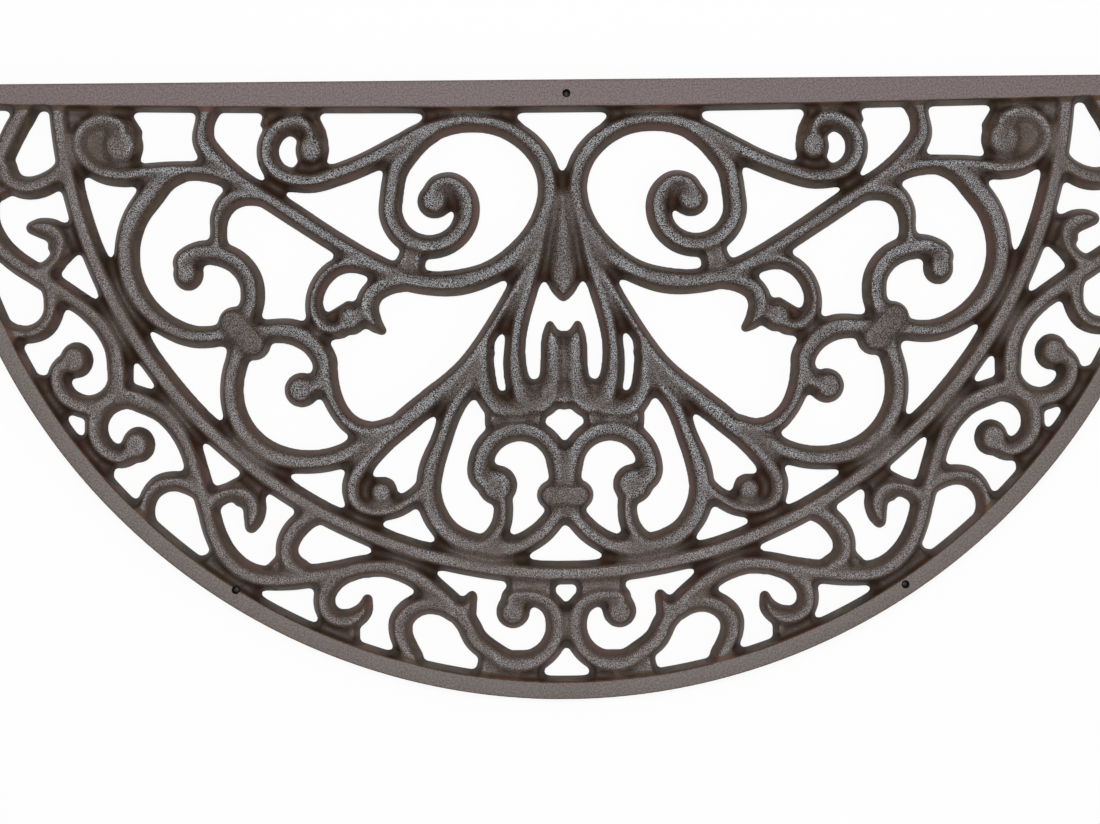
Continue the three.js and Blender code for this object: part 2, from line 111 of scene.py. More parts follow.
JOIN_EDGE = 2.0  # how near an opening that filling fades
EDGE_ROUND = 1.1  # outer top edge of rim and bar
SCROLL_BLUR = 0.6  # softness of the cast scrolls
FRAME_BLUR = 0.3  # and of rim, bar and collars
SEED = 5
UNEVEN = ((2.4, 0.05), (7.0, 0.12))  # size and depth of the unevenness left by the mould
TRIANGLES = 190000  # of the finished casting
SHARP_ANGLE = 60  # degrees; edges above it are shaded sharp
HOLLOW_BALL = 7.5  # radius of the ball that finds the grooves, where shade is painted
CREST_BLUR = 3.0  # how widely the surface round a point is averaged to find the crests
COLLAR_CREST = 0.1  # the collars get less of the crests' painted highlight

# Colours
WALL_DARK = "403127"
WALL_LIGHT = "524231"
WALL_RED = "5a3d34"
CROWN_DARK = "282526"
# light grains of the crowns: the cast grain, brightened as painted glints
CROWN_GRAIN_GLINT = "abaaac"
CROWN_WORN = "7b7573"
# painted shade on the crowns' shoulders, where they slope away from the light
SHOULDER_SHADE_DARK = "29221e"
SHOULDER_SHADE_LIGHT = "62544c"
CROWN_BROWN = "61524a"
# painted shade, laid in the grooves and at the foot of the walls
PAINTED_SHADE = "2a1d15"
FLAT_DARK = "605556"
FLAT_LIGHT = "857676"
RIM_TINT = "f3fbf0"  # the rim is greyer and a little darker than the bar

# Where the colours change: each pair holds the start and the end of the change
CROWN_FACING = (0.38, 0.72)  # how far a surface faces up, from wall to crown
CROWN_LEVEL = (6.2, 8.6)  # millimetres above the underside, from wall to crown
FOOT_SHADE_LEVEL = 4.0  # height of the painted shade at the foot of the walls
FRAME_EDGE = (-4.0, -2.5)  # millimetres outside the flat tops, from crown to the frame's own wall
FLAT_EDGE = (-0.2, 0.3)  # from that wall to the flat top
BORDER_START = (0.24, 0.31)  # metres from the arc centre, from grey crowns to brown ones
RIM_END = (0.10, 0.16)  # metres along Y, from the rim's colour to the bar's
SPECKLE = (0.56, 0.64)  # of the grain, from dark to light; the light grains are partly painted glints
GRAIN, CLUMP, PATCH, FADE, BROAD = 0.55, 1.6, 7.0, 30.0, 45.0  # sizes of the noises, in millimetres
BUMP_DEPTH = 0.16  # millimetres

# Light
LAMPS = (  # name, place, size, level
    ("overhead", (-0.1, 0.2, 2.2), 0.9, 0.65),
    ("side", (1.6, -0.6, 1.5), 1.2, 0.07),
)
WORLD_LEVEL = 0.28
FLOOR_SHADE = 0.65  # how much light the floor throws back at the object
SHADOW_SHARE = 0.2  # how much of its shadow the floor shows

# The camera straight above, as for the photograph of 1100 x 824 pixels
PHOTO_WIDTH = 1100
PIXEL = 0.6065  # millimetres on the casting's underside
CAMERA_HEIGHT = 1420.0  # above the casting's underside
CAMERA_X = -8.8
CAMERA_Y = -13.6
ROLL = -0.5  # degrees


def curl(cu, cv, start, end, n):
    """n + 1 points about (cu, cv); start and end are radius, angle and width."""
    (r0, a0, w0), (r1, a1, w1) = start, end
    points = []
    for i in range(n + 1):
        t = i / n
        r = r0 + (r1 - r0) * t
        a = math.radians(a0 + (a1 - a0) * t)
        points.append([cu + r * math.cos(a), cv + r * math.sin(a), w0 + (w1 - w0) * t])
    return points


# The scroll drawing of one half, in the same units and points as the model: [u, v, width], with u
# from the middle of the mat and v towards the round rim. A bead ends with its radius and how much
# longer it is along v, a collar with its length, width and turn in degrees, a web with its height.

FIELD = [
    # Small volute, then the long loop under the straight bar, up into the diagonal
    ("bar", [
        [150, 45, 11], [151, 38, 12], *curl(160, 49, [16.6, -105, 13.5], [17.3, 77, 14], 6),
        [151, 67.5, 13.5], [136, 63.5, 14], [118, 56.5, 14], [100, 47.5, 14.5], [82, 38.5, 14.5],
        [66, 33.5, 13], [50, 32.7, 12.5], [36, 35.5, 13], [22, 43.5, 14], [12, 55.5, 14.5],
        [8, 69, 14.5], [9, 83, 15], [15, 98, 16], [27, 112, 16], [43.6, 122.9, 15], [62, 128.5, 16],
        [80, 129, 15], [98, 125, 15], [112, 118.5, 14], [137, 103.5, 13.5], [163, 86.5, 14],
        [184, 73, 13], [199.5, 61.7, 14], [210, 51.5, 15], [215.5, 42, 14], [214.5, 31, 12.5],
        [211, 20, 16],
    ]),
    ("bead", [150.3, 48.5], 10.3, 1.1),
    # Big volute hanging from the loop
    ("bar", [
        [76, 37.5, 12], [85.5, 43.3, 14], [92.8, 51, 14.5], [99.7, 61.5, 14.5],
        *curl(79.5, 84, [24.4, -17, 14.5], [22.1, 190, 15], 8), [61.5, 73, 14.5], [67.5, 68.8, 13],
        [75, 70.5, 13], [79, 76.5, 13],
    ]),
    ("bead", [77, 79.8], 10.6),
    # Corner volute, its tail running into the diagonal
    ("bar", [
        [263, 42, 13], [264, 34.5, 14], [271.5, 31.2, 14], [281, 32, 14], [288, 38.5, 13],
        [289, 47, 13], [284.5, 55, 13], [276, 61, 13], [263, 63.3, 13], [247, 61.3, 12.5],
        [231, 60.5, 12.5], [215, 61, 12], [200, 65.5, 12], [184, 74, 12],
    ]),
    ("bead", [264, 45.5], 12.3, 1.08),
    # Link from the diagonal down to the middle curl
    ("bar", [
        [166, 83, 11], [178, 77.3, 12], [190, 75.5, 12.5], [200.3, 78.7, 13.5], [206, 87.5, 12],
        [207, 98, 10.5], [207, 108, 12.5],
    ]),
    # Middle curl above the collar
    ("bar", [
        [225.5, 122, 12], [228.3, 115, 13], [219, 110, 15], [207, 110.5, 15], [195.5, 116, 15],
        [188.3, 126, 15], [187, 138, 15], [191, 152, 15],
    ]),
    ("bead", [225.4, 122.5], 9.3, 1.08),
    # Big C from the corner volute's tail to the collar
    ("bar", [
        [226, 60, 12], [238.5, 65.5, 15], *curl(211.5, 111, [50.8, -45, 16.5], [50, 78, 13.8], 7),
        [206, 159.5, 13.5], [191, 158, 13],
    ]),
    # Below the collar: the long sweep back to the middle, and the small curl
    ("bar", [
        [193, 160, 14], [196.5, 174, 14.5], *curl(158, 192, [41.8, -6, 14.5], [43.3, 76, 15.3], 4),
        [152, 235.8, 14.5], [136, 233, 14.5], [120, 225, 14.5], [106, 216, 14],
    ]),
    ("bar", [
        [191, 158, 13], [176, 157, 14.5], [162, 158, 16], [150.5, 165, 15.5], [144, 175.5, 15.5],
        [145, 184.5, 14.5], [150.5, 190.5, 14], [157, 192.5, 14],
    ]),
    ("bead", [157.8, 192.6], 10.6),
    ("bar", [
        [144, 178, 15], [140.5, 194, 13], [135, 206, 12], [127.2, 214.3, 12.5], [116, 217.5, 12],
        [102, 215, 13],
    ]),
    # Ear loop beside the diagonal, with its leaf
    ("bar", [
        [108, 120.5, 14], [120, 116.8, 14], [130, 117, 11.5], [139.5, 121, 11], [146.5, 129, 11],
        [149.8, 139, 11], [148.3, 149, 12], [141.5, 155.8, 12.5], [132, 156.3, 11],
    ]),
    ("bead", [128, 150.3], 9.8),
    ("bar", [
        [92, 126.5, 14], [106, 129.5, 14], [115, 135, 14.5], [118, 143, 14.5], [114.5, 152, 11],
        [109.8, 157, 6],
    ]),
    ("bead", [109.3, 157.3], 2.8),
    # Stem from the loop down into the ring beside the lower lobe
    ("bar", [
        [8.5, 80, 12], [12, 98, 12], [18.5, 116, 11.5], [28, 132, 11], [42, 155, 11],
        [49, 166, 11.5], [57, 177.3, 12.5], [66, 187.5, 14.5], [80, 199, 15.5], [95.7, 212, 16],
        [110, 225, 14.5], [121, 238, 14], [127.3, 250, 13.8], [125.5, 260, 13], [116, 265.3, 12],
        [103, 264.5, 12], [92, 258.5, 12], [82, 250, 12],
    ]),
    ("bead", [109.8, 254.3], 9, 1.05),
    # Strand that turns round the lower lobe into the middle collar
    ("bar", [
        [47, 169, 13], [58, 190, 13.5], [67.3, 205.7, 13], [74.3, 223.7, 13.5], [80.4, 241, 15.5],
        [82, 254, 15.5], [78.9, 267.2, 16], [71, 278.5, 15.5], [59, 285.5, 15.5], [45, 287.5, 14],
        [30, 287, 13],
    ]),
    ("bar", [
        [0, 262, 14], [6, 270, 14], [15, 279.7, 14.5], [27, 286.8, 14], [40, 290, 13],
        [53, 289, 13],
    ]),
    # Tulip: inner strand, sepal and petal
    ("bar", [
        [11, 92, 10], [15.5, 112, 13], [21, 130, 14], [26, 148, 13.2], [29, 164, 12.8],
        [29.5, 178, 14], [27.5, 190, 15.5], [22.5, 199.5, 18], [14.5, 201.5, 19], [8, 197, 15],
        [7, 188, 14],
    ]),
    ("bar", [
        [46, 161, 10], [48.5, 173, 12.5], [48.5, 186, 14.5], [46.3, 196, 14.8], [40.3, 203.5, 16],
        [31, 206, 15], [20, 206, 12],
    ]),
    ("bar", [
        [8.3, 154.5, 5], [7.9, 159, 9], [6.9, 165, 14], [6.3, 173, 16], [6.5, 182, 16.4],
        [8, 190, 16], [13, 198, 15],
    ]),
    ("bead", [8.2, 154.8], 2.3),
    # Lower lobe and its thin stem
    ("bar", [
        [2, 252, 14], *curl(27, 241, [23.3, -176, 14.5], [24, 8, 15.5], 8), [44.5, 251.5, 15],
    ]),
    ("bead", [40.8, 250.8], 12.2),
    ("bar", [[38, 256, 12], [37.3, 265, 12], [38.8, 274.5, 12.5], [45, 283, 12], [55, 288, 12]]),
    # Collar of the outer knot
    ("collar", [192, 158.3], 37, 20, -133),
    # Flat link between the big volute and the loop, and metal in the corners
    ("web", [[82, 111.5], [96, 105], [102, 118], [96, 124], [83.5, 122]], 9.6),
    ("web", [
        [28, 22], [81, 22], [81, 27.5], [88, 34], [66, 34], [40, 34], [22, 35], [29, 28.5],
    ], 6),
    ("web", [
        [146.5, 21], [177, 21], [176.5, 24.5], [180, 28.5], [182, 34], [166, 38], [150, 48],
        [140.3, 44], [142, 36.5], [145.5, 29.5],
    ], 6),
    ("web", [
        [262.5, 19], [302, 19], [302, 60], [289, 57], [262, 57], [253, 46], [252.3, 36],
        [257, 28.5], [262.5, 24],
    ], 7.6),
    ("web", [[202, 19], [223, 19], [218, 25.5], [208, 27], [205, 25]], 9),
    ("web", [[140, 57], [160, 56], [163, 66], [142, 66]], 5),
    ("web", [[270, 40], [284, 40], [282, 56], [266, 60]], 7.6),
    ("web", [[103, 247], [127, 250], [124, 262], [102, 262]], 6),
    ("web", [[124, 140], [130, 139], [148, 150], [140, 158], [128, 158]], 6),
    ("web", [[3, 186], [17, 187], [30, 192], [24, 203], [3, 203]], 8),
    ("web", [[34, 196], [50, 190], [44, 204], [26, 208]], 7),
    ("web", [[9, 205], [48, 205], [48, 216], [13, 217]], 9.2),
    ("web", [[-8, 156.5], [0, 159.5], [8, 156.5], [8, 176], [7, 186], [-7, 186], [-8, 176]], 8.4),
    ("web", [[139, 160], [150, 150], [160, 152], [150, 164]], 7),
]

MIDDLE_BORDER = [
    # Middle C scroll and the wave that leaves it
    ("bar", [
        [32, 324, 12], [32.5, 318.3, 13], [25, 316.8, 12.5], [16, 318.3, 13.5],
        *curl(28, 335, [22.6, 210, 14.5], [23, 47, 14.5], 7), [53.7, 344, 14.8], [60, 333, 14.5],
        [68, 323.5, 15], [77.5, 314.5, 15], [88, 306.5, 15], [99, 301, 15], [111, 298.5, 14],
        [123, 299.5, 14],
    ]),
    ("bead", [32, 326.8], 10.3),
    ("bar", [[62, 334, 14], [60, 325.5, 12.5], [57, 318.5, 7.5]]),
    ("bead", [56.6, 317.3], 3.3),
    # Finger down to the rim
    ("bar", [
        [66, 328, 12], [75, 322.5, 13.5], [85, 321.5, 14], [93.6, 325, 14.6], [99, 331.6, 15],
        [99.2, 340, 14.5], [95.5, 348.5, 13.5], [91, 356, 13],
    ]),
    # Hook beside it
    ("bar", [
        [118, 298.5, 13], [131, 301.3, 14], [140.5, 308, 14], [145, 316.5, 13.5], [144, 325, 13.5],
        [137.5, 330.3, 13], [129, 330.5, 13.5], [122, 325.8, 11], [119.5, 319.5, 6.5],
    ]),
    ("bead", [119.4, 318.7], 3.2),
    ("web", [[7, 306], [35, 306], [36, 313], [40, 320], [8, 322], [6, 316]], 9.3),
    ("web", [[12, 350], [52, 350], [54, 359], [56, 366], [12, 366], [14, 363]], 9.3),
    ("web", [[124, 334], [148, 328], [149, 333], [152, 338], [124, 344]], 8),
    ("web", [[54, 338], [60, 325], [70, 324], [66, 334]], 6),
]

REPEATED_BORDER = [
    # Wave along the rim, up into the C volute
    ("bar", [
        [108, 298.5, 14], [121, 299, 14], [136, 302.3, 15], [152, 304.3, 14.5], [168, 305.8, 14.5],
        [183, 305, 14.5], [195, 300, 14.5], [204.5, 290.5, 14.5], [210.6, 278.2, 14],
        [214.5, 264.5, 14], [218, 251, 14], [221.3, 239.3, 14], [225.5, 226.7, 14],
        [232, 214.5, 14.5], [241.5, 204.5, 15],
        *curl(263, 214.5, [19, -122, 16], [18, 78, 13.3], 7), [259, 229.5, 13],
    ]),
    ("bead", [256.2, 224.6], 10.2, 1.08),
    # Leaf curl under the arch
    ("bar", [
        [215, 262, 13], [207.7, 256, 12.5], [199.5, 253.3, 12], [191, 255, 13.5],
        [187, 261.5, 14.5], [187.3, 269, 12.5], [188.7, 274, 8.4],
    ]),
    ("bead", [188.8, 274.6], 4),
    # Link from the arch to the wave
    ("bar", [
        [146, 265, 14], [156, 270.5, 14], [163.5, 277.8, 14.5], [167.3, 286.5, 14], [166, 295, 14],
        [157, 303, 14],
    ]),
    # Finger out to the rim
    ("bar", [
        [217, 254, 13], [225.5, 248.8, 13.5], [235, 246.8, 12.5], [243.5, 248.8, 12.5],
        [249.5, 255, 11.5], [252, 264, 11], [251, 272, 11],
    ]),
    ("web", [[180, 250], [196, 244], [206, 249], [198, 262], [180, 266]], 8),
    ("web", [[172, 290], [180, 298], [170, 306], [160, 300]], 8),
    ("web", [[178, 312], [212, 286], [216, 291], [222, 292], [200, 316]], 8),
    ("web", [[271, 240], [284, 222], [290, 218], [296, 225], [272, 252]], 7),
]

MIDDLE_LINE = [
    ("bar", [
        [0, 66, 3], [0, 78, 9.5], [0, 92, 14], [0, 107, 18], [0, 119, 21], [0, 127, 20],
        [0, 133.5, 13], [0, 139, 4],
    ]),
    ("bar", [[0, 160, 4], [0, 170, 6], [0, 190, 8], [0, 202, 10]]),
    ("collar", [0, 257], 34, 18, 0),
]


def place(point):
    """A drawn point in millimetres about the arc centre, with its width."""
    u, v, w = (*point, 0)[:3]
    r = math.hypot(u, v - DRAWN_CENTRE)
    arch = DRAWN_ARCH - DRAWN_CENTRE
    border = DRAWN_RIM - DRAWN_ARCH
    in_border = ARCH_RADIUS + (r - arch) * (RIM_RADIUS - ARCH_RADIUS) / border
    scale = (r * ARCH_RADIUS / arch if r < arch else in_border) / r
    return np.array([u * scale, (DRAWN_CENTRE - v) * scale, w * scale])


def spline(points):
    """Samples along a centripetal curve through the points."""
    p = [2 * points[0] - points[1], *points, 2 * points[-1] - points[-2]]
    samples = []
    for a, b, c, d in zip(p, p[1:], p[2:], p[3:]):
        ab, bc, cd = (math.sqrt(np.linalg.norm(q - r)) for q, r in ((b, a), (c, b), (d, c)))
        out = ((b - a) / ab - (c - a) / (ab + bc) + (c - b) / bc) * bc
        into = ((c - b) / bc - (d - b) / (bc + cd) + (d - c) / cd) * bc
        count = max(2, math.ceil(np.linalg.norm(c - b) / STEP))
        t = (np.arange(count) / count)[:, None]
        square = (3 * (c - b) - 2 * out - into) * t**2
        cube = (2 * (b - c) + out + into) * t**3
        samples.append(b + out * t + square + cube)
    return np.concatenate([*samples, [points[-1]]])


def crown_of(width):
    """Height of a scroll of this width."""
    return CROWN * np.minimum(1, (width + FULL_WIDTH / 2) / (1.5 * FULL_WIDTH))


class HeightMap:
    """Height over a regular grid about the arc centre, to which shapes are added."""

    def __init__(self):
        half = RIM_RADIUS + MARGIN
        self.xs = np.arange(-half, half, GRID)
        self.ys = np.arange(-half, -BAR_SETBACK + MARGIN, GRID)
        self.height = np.full((len(self.ys), len(self.xs)), FLOOR)

    def window(self, x0, x1, y0, y1):
        """Slices of the grid inside a box, with their x and y."""
        i = slice(*np.searchsorted(self.xs, (x0, x1)))
        j = slice(*np.searchsorted(self.ys, (y0, y1)))
        return j, i, self.xs[i][None, :], self.ys[j][:, None]

    def dome(self, centre, half_width, crown, fullness, lean=(0.0, 0.0), stretch=1.0):
        """A rounded section about one point, its crown moved to one side by lean."""
        reach = half_width * max(stretch, 1) - FLOOR / SLOPE
        cx, cy = centre
        j, i, x, y = self.window(cx - reach, cx + reach, cy - reach, cy + reach)
        wall = (half_width - np.hypot(x - cx, (y - cy) / stretch)) * SLOPE + LAND
        out = np.hypot(x - cx - lean[0], (y - cy - lean[1]) / stretch)
        out = np.minimum(out / (half_width + math.hypot(*lean) + OVERHANG), 1)
        top = np.where(out < 1, crown * (1 - out**fullness) ** (1 / fullness), FLOOR)
        self.height[j, i] = np.maximum(self.height[j, i], np.minimum(wall, top))

    def bar(self, samples, fullness=FULLNESS, lean_radius=LEAN_RADIUS):
        """A scroll bar along samples of x, y and width."""
        steps = np.linalg.norm(np.diff(samples[:, :2], axis=0), axis=1)
        along = np.concatenate([[0], np.cumsum(steps)])
        to_end = np.minimum(along, along[-1] - along)
        direction = np.gradient(samples[:, :2], along, axis=0)
        heading = np.unwrap(np.arctan2(direction[:, 1], direction[:, 0]))
        lean = LEAN * np.clip(np.gradient(heading, along) * lean_radius, -1, 1)
        n = int(LEAN_RUN / STEP / 2)
        weights = np.hanning(2 * n + 3)[1:-1] / (n + 1)
        lean = np.convolve(np.pad(lean, n, mode="edge"), weights, mode="valid")
        for (x, y, width), angle, shift, end in zip(samples, heading, lean, to_end):
            half_width = min(width / 2, end + END)
            moved = (math.sin(angle) * shift, -math.cos(angle) * shift)
            self.dome((x, y), half_width, crown_of(2 * half_width), fullness, moved)

    def bead(self, middle, stretch=1.0):
        """The ball at the end of a bar."""
        x, y, width = middle
        self.dome((x, y), width / 2, crown_of(width), BEAD_FULLNESS, stretch=stretch)

    def web(self, corners, height):
        """Low metal between bars: a polygon with a wall all round."""
        corners = np.array(corners)[:, :2]
        low, high = corners.min(0) + FLOOR / SLOPE, corners.max(0) - FLOOR / SLOPE
        j, i, x, y = self.window(low[0], high[0], low[1], high[1])
        distance = np.full(np.broadcast_shapes(x.shape, y.shape), np.inf)
        inside = np.zeros(distance.shape, bool)
        for (ax, ay), (bx, by) in zip(corners, np.roll(corners, -1, axis=0)):
            dx, dy = bx - ax, by - ay
            t = np.clip(((x - ax) * dx + (y - ay) * dy) / (dx * dx + dy * dy), 0, 1)
            distance = np.minimum(distance, np.hypot(x - ax - t * dx, y - ay - t * dy))
            if ay != by:
                inside ^= ((ay > y) != (by > y)) & (x < ax + (y - ay) * dx / dy)
        wall = np.where(inside, distance, -distance) * SLOPE + LAND
        self.height[j, i] = np.maximum(self.height[j, i], np.minimum(wall, height))

    def add(self, shapes, mirror_ray=None, flip=False):
        """Adds drawn bars, beads and webs, mirrored about a ray or the middle line if asked."""

        def moved(point):
            p = place(point)
            if mirror_ray is not None:
                p[:2] -= 2 * (p[:2] @ mirror_ray) * mirror_ray
            if flip:
                p[0] = -p[0]
            return p

        for kind, where, *rest in shapes:
            if kind == "bar":
                self.bar(spline([moved(q) for q in where]))
            elif kind == "bead":
                radius, *stretch = rest
                self.bead(moved([*where, radius * 2]), *stretch)
            elif kind == "web":
                self.web([moved(q) for q in where], *rest)


def ball(radius):
    """Grid offsets inside a ball, and how far below its top the ball is there."""
    n = int(radius / GRID)
    steps = [(j, i) for j in range(-n, n + 1) for i in range(-n, n + 1)]
    inside = [(j, i) for j, i in steps if math.hypot(i, j) * GRID < radius]
    return [(j, i, radius - math.sqrt(radius**2 - (i * i + j * j) * GRID**2)) for j, i in inside]


def rolled(height, radius, sign):
    """The height map after a ball's highest (sign 1) or lowest (sign -1) reach over each point."""
    n = int(radius / GRID)
    padded = np.pad(height * sign, n, mode="edge")
    out = np.full(height.shape, -np.inf)
    rows, columns = height.shape
    for j, i, drop in ball(radius):
        np.maximum(out, padded[n + j : n + j + rows, n + i : n + i + columns] - drop, out=out)
    return out * sign


def opened(height, radius):
    """Rounds outward edges."""
    return rolled(rolled(height, radius, -1), radius, 1)


def closed(height, radius):
    """Fills inward corners with a fillet."""
    return rolled(rolled(height, radius, 1), radius, -1)


def blurred(height, sigma):
    """A Gaussian blur of this many millimetres."""
    n = int(math.ceil(3 * sigma / GRID))
    weights = np.exp(-0.5 * (np.arange(-n, n + 1) * GRID / sigma) ** 2)
    weights /= weights.sum()
    for axis in (0, 1):
        width = [(n, n) if a == axis else (0, 0) for a in (0, 1)]
        padded = np.pad(height, width, mode="edge")
        rows = np.arange(height.shape[axis])
        height = sum(w * np.take(padded, rows + k, axis=axis) for k, w in enumerate(weights))
    return height


def uneven(random, shape, size):
    """Seeded bumps about this many millimetres across, with a standard height of 1."""
    bumps = blurred(random.standard_normal(shape), size / 2)
    return bumps / bumps.std()


def inside_collars(x, y):
    """Distance inside the foot of the nearest flat-topped collar."""
    inside = np.full(np.broadcast_shapes(np.shape(x), np.shape(y)), -np.inf)
    collars = [shape for shape in FIELD + MIDDLE_LINE if shape[0] == "collar"]
    for _, where, length, width, turn in collars:
        x0, y0, scale = place([*where, 1])
        for side in (1, -1):
            a = math.radians(turn) * side
            dx, dy = x - side * x0, y - y0
            along = np.abs(dx * math.cos(a) + dy * math.sin(a))
            across = np.abs(dy * math.cos(a) - dx * math.sin(a))
            beyond = np.maximum(along - (length - width) / 2 * scale, 0)
            inside = np.maximum(inside, width / 2 * scale - np.hypot(beyond, across))
    return inside


def collar_heights(x, y):
    """The collars: a steep wall, a bevel and a flat top."""
    inside = inside_collars(x, y)
    bevel = COLLAR - COLLAR_DRAFT / 2
    wall = np.minimum(inside * bevel / COLLAR_DRAFT + LAND, bevel + inside - COLLAR_DRAFT)
    return np.clip(wall, FLOOR, COLLAR)


def bar_width(x):
    """Width of the straight bar, which narrows towards its tips."""
    return BAR_WIDTH + (BAR_TIP_WIDTH - BAR_WIDTH) * (x / RIM_RADIUS) ** 2


def frame_heights(x, y):
    """Rim and bar: their height, and the distance inside the mat's outline."""
    rim = RIM_RADIUS - np.hypot(x, y)
    bar = -BAR_SETBACK - y
    inward = np.maximum((RIM_WIDTH - rim) / RIM_DRAFT, (bar_width(x) - bar) / BAR_DRAFT)
    height = inward * THICKNESS + LAND
    return np.clip(height, FLOOR, THICKNESS), np.minimum(rim, bar)


def inside_flat_tops(x, y):
    """Distance inside the flat top of rim or bar."""
    rim = np.hypot(x, y) - (RIM_RADIUS - RIM_WIDTH + RIM_DRAFT)
    bar = BAR_SETBACK + y + bar_width(x) - BAR_DRAFT
    return np.maximum(rim, bar)


def feet():
    """Each rubber foot's node, with the low and the high corner of its box."""
    nodes = [node for node in sorted(frame["nodes"]) if node.startswith("rubber_foot")]
    return [(node, *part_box(node)) for node in nodes]


def middle_of(low, high):
    """The middle of a box in plan, in millimetres."""
    return (low.x + high.x) / 2 / MM, (low.y + high.y) / 2 / MM


def cast_heights():
    """The grid, the cast surface over it, and the distance inside its outline."""
    grid = HeightMap()
    turn = math.radians(MIRROR_ANGLE)
    ray = -np.array([math.sin(turn), math.cos(turn)])
    for flip in (False, True):
        grid.add(FIELD + MIDDLE_BORDER + REPEATED_BORDER, flip=flip)
        grid.add(REPEATED_BORDER, mirror_ray=ray, flip=flip)
    grid.add(MIDDLE_LINE)
    angles = np.radians(np.arange(*ARCH_SPAN))
    arch_x, arch_y = ARCH_RADIUS * np.cos(angles), -ARCH_RADIUS * np.sin(angles)
    widths = np.full(len(angles), ARCH_WIDTH)
    grid.bar(np.stack([arch_x, arch_y, widths], axis=1), ARCH_FULLNESS, ARCH_RADIUS)
    x, y = grid.xs[None, :], grid.ys[:, None]
    around, edge = frame_heights(x, y)
    raised = np.maximum(around, collar_heights(x, y))  # rim, bar and collars, with crisper edges
    soft = opened(np.maximum(grid.height, np.minimum(raised, CROWN)), CROWN_ROUND)
    both = opened(np.maximum(grid.height, raised), FRAME_ROUND)
    crisp = raised > LAND
    random = np.random.default_rng(SEED)
    rough = sum(uneven(random, grid.height.shape, size) * depth for size, depth in UNEVEN)
    soft += np.where(soft > LAND, rough, 0)
    height = closed(np.where(crisp, np.maximum(both, soft), soft), FILLET)
    solid_share = blurred((height > LAND).astype(float), JOIN_EDGE)
    deep = np.clip(solid_share * 5 - 4, 0, 1)  # 0 where the share is 0.8 or less, 1 in solid metal
    height += (closed(height, JOIN_FILL) - height) * deep
    height = np.where(crisp, blurred(height, FRAME_BLUR), blurred(height, SCROLL_BLUR))
    past = np.clip(EDGE_ROUND - edge, 0, EDGE_ROUND)
    rounding = EDGE_ROUND - np.sqrt(EDGE_ROUND**2 - past**2)
    height = np.where(edge < EDGE_ROUND, np.minimum(height, THICKNESS - rounding), height)
    within = np.minimum((height - LAND) / SLOPE, edge)
    for _, low, high in feet():
        cx, cy = middle_of(low, high)
        within = np.minimum(within, np.hypot(x - cx, y - (cy - ARC_CENTRE_Y)) - HOLE_RADIUS)
    return grid.xs, grid.ys, height, within


def sampled(values, xs, ys, x, y):
    """Values of the grid between its points."""
    i = np.clip((x - xs[0]) / GRID, 0, len(xs) - 1.001)
    j = np.clip((y - ys[0]) / GRID, 0, len(ys) - 1.001)
    i0, j0 = i.astype(int), j.astype(int)
    fi, fj = i - i0, j - j0
    below = values[j0, i0] * (1 - fi) + values[j0, i0 + 1] * fi
    above = values[j0 + 1, i0] * (1 - fi) + values[j0 + 1, i0 + 1] * fi
    return below * (1 - fj) + above * fj


